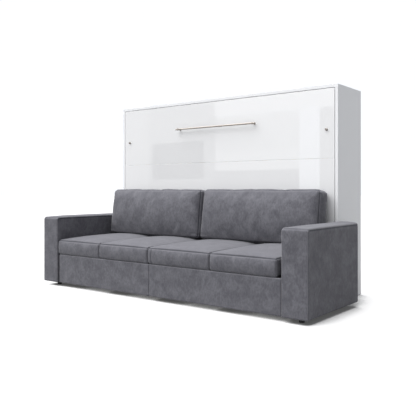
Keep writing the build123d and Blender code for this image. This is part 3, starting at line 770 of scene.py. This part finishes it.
def backCushion(side):
    # Loose cushion: its front stands out by crown times a bell of x^3 and a bell up, and leans back in step
    # with height. The top line is a sum of waves, lower at its rear, and high powers of x and z draw the
    # corners in.
    look = backLook
    name = "back_cushion_" + side
    low, high = np.array(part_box(name))
    gap, front = look["sideGap"], low[1] + look["recess"]
    end = (high[0] - gap, front + look["thick"], high[2] + look["topRise"])
    form = BoxForm((low[0] + gap, front, low[2]), end, look)
    x, y, z = form.share.T
    height = (z + 1) / 2
    p = form.points.copy()
    p[:, 1] += look["lean"] * height
    across, upward = bell(x ** look["crownFlat"]) ** look["crownAcross"], bell(z) ** look["crownUpward"]
    p[:, 1] -= near(-y, look["frontPower"]) * look["crown"] * across * upward
    topShift = ripple(form.points[:, :1], look["topWaves"]) - (y + 1) / 2 * look["topFall"]
    p[:, 2] += near(z, look["topPower"]) * topShift
    corner = near(np.abs(x), look["cornerPowers"][0]) * near(np.abs(z), look["cornerPowers"][1])
    corner = corner * look["cornerDraw"]
    p[:, 0] -= np.sign(x) * (near(np.abs(x), look["sidePower"]) * look["sideDraw"] * bell(z) + corner)
    p[:, 0] -= (form.points[:, 0] - form.middle[0]) * look["taper"] * height
    p[:, 2] -= np.sign(z) * corner * look["cornerShare"]
    seams = [(1, -1), (1, 1)]
    hold = look["seamHold"] * seamLine(form, seams, look["seamHoldWidth"])
    hold = np.maximum(hold, np.clip(1 - form.fromSeam(2, -1) / look["holdRun"], 0, 1))
    hold[(y > onFace) | (z < -onFace)] = 1
    within = (low + (gap, -look["frontSpace"], 0), high + (-gap, 0, look["topSpace"]))
    piece = softPiece("backCushion" + side.capitalize(), form, p, cushionVelour, name, look,
                      hold, within, seams)
    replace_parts(piece, name)


for side in ("left", "right"):
    backCushion(side)
print("back cushions made")


armLook = {
    "rounding": 0.010,
    "roundRows": 6,
    "crown": 0.010,          # across the top
    "crownAcross": 0.9,      # power of its bell
    "topPower": 12,          # how closely crown and draw stay to their faces
    "sidePower": 20,
    "edgeDrop": 0.014,       # from the box's top to the arm's upper edges
    "frontCrown": 0.2,       # share of the crown that is left at the front end
    "crownRun": 0.16,
    "frontRound": 0.022,     # where the front turns over into the top
    "sideDraw": 0.0012,      # how far the side panels lie in
    "sideWaves": [((1.7, 2.2), 0.3, 0.0006), ((-3.1, 1.4), 1.9, 0.0005)],
    "spacing": 0.009,
    "panelRound": 0.030,     # corners of the side panels
    "panelFrom": 0.97,       # share of the width beyond which a side panel lies
    "lipFrom": 0.88,
    "seamInset": 0.009,
    "seamTurn": 0.03,        # the seam changes from painted shade to painted highlight over this much of the corner
    # painted highlight on the arm's other rounded edges
    "edgeHighlight": 0.25,
    "lipHighlight": 2.4,              # how strong the painted highlight on the front edges is
    "lipPower": 2,
    "seamWidth": 0.0042,
    "seamDepth": 0.0022,
    "fill": 0.95,
}


def armCover(side):
    # Upholstered box arm: its top rises by crown times a bell across, less towards the front with the root of
    # the distance from it, and the front turns over into the top on a quarter circle.
    # Each side panel is sewn in along a rounded outline, with painted shade along the top and a painted
    # highlight down the front edge.
    look = armLook
    name = "arm_cover_" + side
    low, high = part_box(name)
    form = BoxForm(low, (high[0], high[1], high[2] - look["edgeDrop"]), look)
    x, y, z = form.share.T
    fromFront, fromTop = form.inset(1, -1), form.inset(2, 1)
    p = form.points.copy()
    least = look["frontCrown"]
    risen = np.sqrt(np.clip(fromFront / look["crownRun"], 0, 1)) * (1 - least) + least
    p[:, 2] += near(z, look["topPower"]) * look["crown"] * bell(x) ** look["crownAcross"] * risen
    # the square corner of front and top is drawn onto a quarter circle
    nearFront = np.clip(look["frontRound"] - (form.points[:, 1] - form.low[1]), 0, None)
    nearTop = np.clip(look["frontRound"] - (form.high[2] - form.points[:, 2]), 0, None)
    drawn = 1 - np.maximum(nearFront, nearTop) / (np.hypot(nearFront, nearTop) + tiny)
    p[:, 1] += nearFront * drawn
    p[:, 2] -= nearTop * drawn
    loose = np.sign(x) * bell(y) * bell(z) * near(np.abs(x), look["sidePower"])
    p[:, 0] += loose * (ripple(form.points[:, 1:], look["sideWaves"]) - look["sideDraw"])
    curve = look["panelRound"]
    past = np.hypot(np.clip(curve - fromFront, 0, None), np.clip(curve - fromTop, 0, None))
    inCorner = (fromFront < curve) & (fromTop < curve)
    away = np.where(inCorner, curve - past, np.minimum(fromFront, fromTop)) - look["seamInset"]
    # painted shade along the top seam of each side panel
    edging = np.exp(-(away / look["seamWidth"]) ** 2) * (np.abs(x) > look["panelFrom"])
    upper = np.clip((fromFront - fromTop) / look["seamTurn"] + 0.5, 0, 1)
    atFrontEdge = (np.abs(x) > look["lipFrom"]) * (y < -look["panelFrom"])
    # painted highlight down the front edges, and a weaker one on the other rounded edges
    lipHighlight = form.rim() ** look["lipPower"] * atFrontEdge * (1 - upper)
    rim = np.maximum(form.rim() * look["edgeHighlight"] * (np.abs(x) < onFace), lipHighlight * look["lipHighlight"])
    piece = softPiece("armCover" + side.capitalize(), form, p, cushionVelour, "root", look,
                      line=edging * upper, rim=rim)
    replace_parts(piece, name)


for side in ("left", "right"):
    armCover(side)
print("arms made")


baseLook = {
    "rounding": 0.009,
    "roundRows": 4,
    "padding": 0.0006,       # how far the face stands out in its middle
    "waves": [((1.3, 2.0), 0.5, 0.0005), ((3.3, -2.4), 1.2, 0.0004)],
    "armGap": 0.007,
    "spacing": 0.016,
    "seamWidth": 0.003,
    "seamDepth": 0.001,
    "fill": 0.95,
}


def baseCover(side):
    # Padded front of the base: a thin rounded slab whose face stands out by padding and a sum of waves, both
    # times a bell across and a bell up.
    look = baseLook
    name = "base_cover_" + side
    low, high = np.array(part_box(name))
    if side == "left":
        low[0] += look["armGap"]
    else:
        high[0] -= look["armGap"]
    form = BoxForm(low, high, look)
    x, y, z = form.share.T
    p = form.points.copy()
    padding = look["padding"] + ripple(form.points[:, ::2], look["waves"])
    p[:, 1] += (y < -onFace) * bell(x) * bell(z) * padding
    piece = softPiece("baseCover" + side.capitalize(), form, p, cushionVelour, "root", look)
    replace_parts(piece, name)


for side in ("left", "right"):
    baseCover(side)
print("base covers made")


mattressLook = {
    "rounding": 0.034,
    "roundRows": 7,
    "spacing": 0.014,
    "quilt": 0.12,           # width and height of a diamond
    "quiltDepth": 0.006,
    "quiltPower": 0.5,       # the lower, the narrower the lines
    "seamWidth": 0.003,
    "seamDepth": 0.003,
    "fill": 0.9,
    "strapX": (-0.5, 0.5),
    "strapWidth": 0.050,
    "strapThick": 0.0016,
    "strapEdge": 0.96,       # share of the strap's width that keeps its full thickness
    "strapRows": 60,
    "cornerRows": 9,
}


def mattress():
    # Foam mattress: its sleeping face sinks by quiltDepth along slanting lines that cross in diamonds, where
    # the sine of x + z or that of x - z is 0.
    look = mattressLook
    low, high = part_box("mattress")
    form = BoxForm(low, high, look)
    p = form.points.copy()
    across = (p[:, 0] + p[:, 2]) / look["quilt"] * math.pi
    along = (p[:, 0] - p[:, 2]) / look["quilt"] * math.pi
    line = 1 - np.minimum(np.abs(np.sin(across)), np.abs(np.sin(along))) ** look["quiltPower"]
    p[:, 1] -= (form.share[:, 1] > onFace) * look["quiltDepth"] * line
    piece = softPiece("mattressPad", form, p, finishes["mattress_cloth"], "bed", look,
                      seams=[(1, 1)])
    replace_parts(piece, "mattress")


def strap(middle, label):
    # Webbing round the mattress: a thin band carried along the rounded outline of the mattress in the y-z
    # plane.
    look = mattressLook
    low, high = np.array(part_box("mattress_straps"))
    radius = look["rounding"]
    turn = np.linspace(0, math.pi / 2, look["cornerRows"])
    corner = radius * np.stack([np.sin(turn), np.cos(turn)], 1)
    far = high[1] - radius
    upper = np.stack([far + corner[:, 0], high[2] - radius + corner[:, 1]], 1)
    lower = np.stack([far + corner[::-1, 0], low[2] + radius - corner[::-1, 1]], 1)
    rows = np.linspace(high[2] - radius, low[2] + radius, look["strapRows"])[1:-1]
    face = np.stack([np.full(len(rows), far + radius), rows], 1)
    path = np.concatenate([[[low[1], high[2]]], upper, face, lower, [[low[1], low[2]]]])
    ahead = np.gradient(path, axis=0)
    ahead /= np.linalg.norm(ahead, axis=1, keepdims=True)
    out = np.stack([-ahead[:, 1], ahead[:, 0]], 1)
    thick, half = look["strapThick"], look["strapWidth"] / 2
    flat = half * look["strapEdge"]
    across, height = np.array([(-half, 0.0), (-flat, -thick), (flat, -thick), (half, 0.0)]).T
    band = path[:, None] + out[:, None] * height[None, :, None]
    sideways = np.broadcast_to(middle + across, band.shape[:2])
    points = np.concatenate([sideways[..., None], band], -1)
    row = len(across)
    i, j = np.meshgrid(np.arange(len(path) - 1), np.arange(row), indexing="ij")
    beside = (j + 1) % row
    quads = [i * row + j, i * row + beside, (i + 1) * row + beside, (i + 1) * row + j]
    ends = [np.arange(row)[::-1], (len(path) - 1) * row + np.arange(row)]
    quads = np.concatenate([np.stack(quads, -1).reshape(-1, 4), ends])
    name = "mattressStrap" + label
    return addMesh(name, points.reshape(-1, 3), quads, finishes["strap_web"], "bed")


mattress()
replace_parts(strap(mattressLook["strapX"][0], "Left"), "mattress_straps")
strap(mattressLook["strapX"][1], "Right")
print("mattress made")


# stage, light and camera

stageLook = {
    "floorSize": 60.0,
    "floorColor": (0.37, 0.37, 0.375),
    "floorGlow": 0.70,       # added where the floor is seen, so that it is white there
    "contact": 0.30,         # how far away a piece still shades the floor
    "toLight": (-0.40, -0.50, 0.77),
    "openRange": (0.38, 0.62),
    "shadeGlow": 0.10,       # share of the glow that stays under a piece
    "shadeSamples": 16,
    "skyLevel": 0.31,
    "skySeen": 1.04,         # bright enough to stay white where it is seen
    "skyColor": (0.965, 0.99, 1.03),
    "sunLevel": 5.1,
    "sunAngle": 80.0,
    "sunFrom": (-0.31, -0.36, 0.88),
}
seenBy = ("Is Camera Ray", "Is Glossy Ray", "Is Transmission Ray")


def stagePlane(name, corners, material):
    mesh = bpy.data.meshes.new(name)
    mesh.from_pydata(corners, [], [(0, 1, 2, 3)])
    mesh.materials.append(material)
    plane = bpy.data.objects.new(name, mesh)
    scene.collection.objects.link(plane)
    return plane


def glowing(finish, strength):
    return finish.add("ShaderNodeEmission", None, {"Color": (1, 1, 1, 1), "Strength": strength})


def addFloor():
    # matte floor that also glows to white where it is seen, less where a piece stands between it and the light
    look = stageLook
    f = Finish("white floor")
    direct, mirrored, through = [f.add("ShaderNodeLightPath", None, None, ray) for ray in seenBy]
    seen = direct.math("MAXIMUM", mirrored).math("MAXIMUM", through)
    matte = f.add("ShaderNodeBsdfDiffuse", None, {"Color": look["floorColor"] + (1,)})
    toLight = f.add("ShaderNodeCombineXYZ", None, dict(zip("XYZ", look["toLight"])))
    around = {"Distance": look["contact"], "Normal": toLight}
    clearSky = f.add("ShaderNodeAmbientOcclusion", {"samples": look["shadeSamples"]}, around, "AO")
    lit = clearSky.between(*look["openRange"]) * (1 - look["shadeGlow"]) + look["shadeGlow"]
    glow = glowing(f, seen * lit * look["floorGlow"])
    size = look["floorSize"]
    corners = [(-size, -size, 0), (size, -size, 0), (size, size, 0), (-size, size, 0)]
    stagePlane("floor", corners, f.shown(f.add("ShaderNodeAddShader", None, {0: matte, 1: glow})))


cardLook = {
    "distance": -4.5,        # y of the first card
    "step": 0.01,            # each card stands this far behind the one before
    "cards": (               # low and high x, low and high z, level
        (-9.0, -3.47, -0.5, 4.5, 0.47),
        (-9.0, -5.15, -0.5, 4.5, 0.59),
        (-5.05, -3.75, 0.98, 1.69, 0.12),
        (-3.47, -1.75, -0.5, 2.10, 0.74),
        (-3.47, -1.75, -0.5, 1.46, 0.84),
        (-3.47, -1.75, -0.5, 1.12, 0.40),
        (-3.47, -0.90, 2.12, 4.5, 0.96),
        (-1.37, -0.90, -0.5, 2.10, 0.50),
    ),
}


def addCards():
    # pale cards that only reflections see
    for number, (left, right, low, high, level) in enumerate(cardLook["cards"]):
        f = Finish("room card " + str(number))
        y = cardLook["distance"] + cardLook["step"] * number
        corners = [(left, y, low), (right, y, low), (right, y, high), (left, y, high)]
        card = stagePlane("roomCard" + str(number), corners, f.shown(glowing(f, level)))
        card.visible_camera = card.visible_diffuse = card.visible_transmission = card.visible_shadow = False


def addWorld():
    # a plain sky: skyLevel lights the object, skySeen is what the camera, mirrors and glass show
    world = bpy.data.worlds.new("studio")
    scene.world = world
    world.use_nodes = True
    tree = world.node_tree
    tree.nodes.clear()
    path = tree.nodes.new("ShaderNodeLightPath")
    seen = path.outputs[seenBy[0]]
    for ray in seenBy[1:]:
        either = tree.nodes.new("ShaderNodeMath")
        either.operation = "MAXIMUM"
        tree.links.new(seen, either.inputs[0])
        tree.links.new(path.outputs[ray], either.inputs[1])
        seen = either.outputs[0]
    level = tree.nodes.new("ShaderNodeMapRange")
    level.inputs["To Min"].default_value = stageLook["skyLevel"]
    level.inputs["To Max"].default_value = stageLook["skySeen"]
    tree.links.new(seen, level.inputs["Value"])
    back = tree.nodes.new("ShaderNodeBackground")
    back.inputs["Color"].default_value = stageLook["skyColor"] + (1,)
    tree.links.new(level.outputs[0], back.inputs["Strength"])
    end = tree.nodes.new("ShaderNodeOutputWorld")
    tree.links.new(back.outputs[0], end.inputs["Surface"])


def addSun():
    lamp = bpy.data.lights.new("softLight", "SUN")
    lamp.energy = stageLook["sunLevel"]
    lamp.angle = math.radians(stageLook["sunAngle"])
    sun = bpy.data.objects.new("softLight", lamp)
    sun.rotation_euler = Vector(stageLook["sunFrom"]).to_track_quat("Z", "Y").to_euler()
    scene.collection.objects.link(sun)


cameraLook = {
    "place": (2.73735, -3.49194, 0.78643),
    "heading": 37.5,
    "picture": 416,          # width and height in pixels
    "focalPixels": 568.94,
    "horizonRow": 189.42,    # pixel row of the horizon
    "sensor": 36.0,
    "farthest": 200.0,
}


def addCamera():
    # level camera with its horizon lifted by the shift, as the photograph's verticals are parallel
    look = cameraLook
    data = bpy.data.cameras.new("camera")
    data.sensor_width = look["sensor"]
    data.lens = look["focalPixels"] / look["picture"] * look["sensor"]
    data.shift_y = (look["horizonRow"] - look["picture"] / 2) / look["picture"]
    data.clip_end = look["farthest"]
    camera = bpy.data.objects.new("camera", data)
    camera.location = look["place"]
    camera.rotation_euler = (math.radians(90), 0, math.radians(look["heading"]))
    scene.collection.objects.link(camera)
    scene.camera = camera


addFloor()
addCards()
addWorld()
addSun()
addCamera()
scene.view_settings.view_transform = "Standard"
print("stage made")
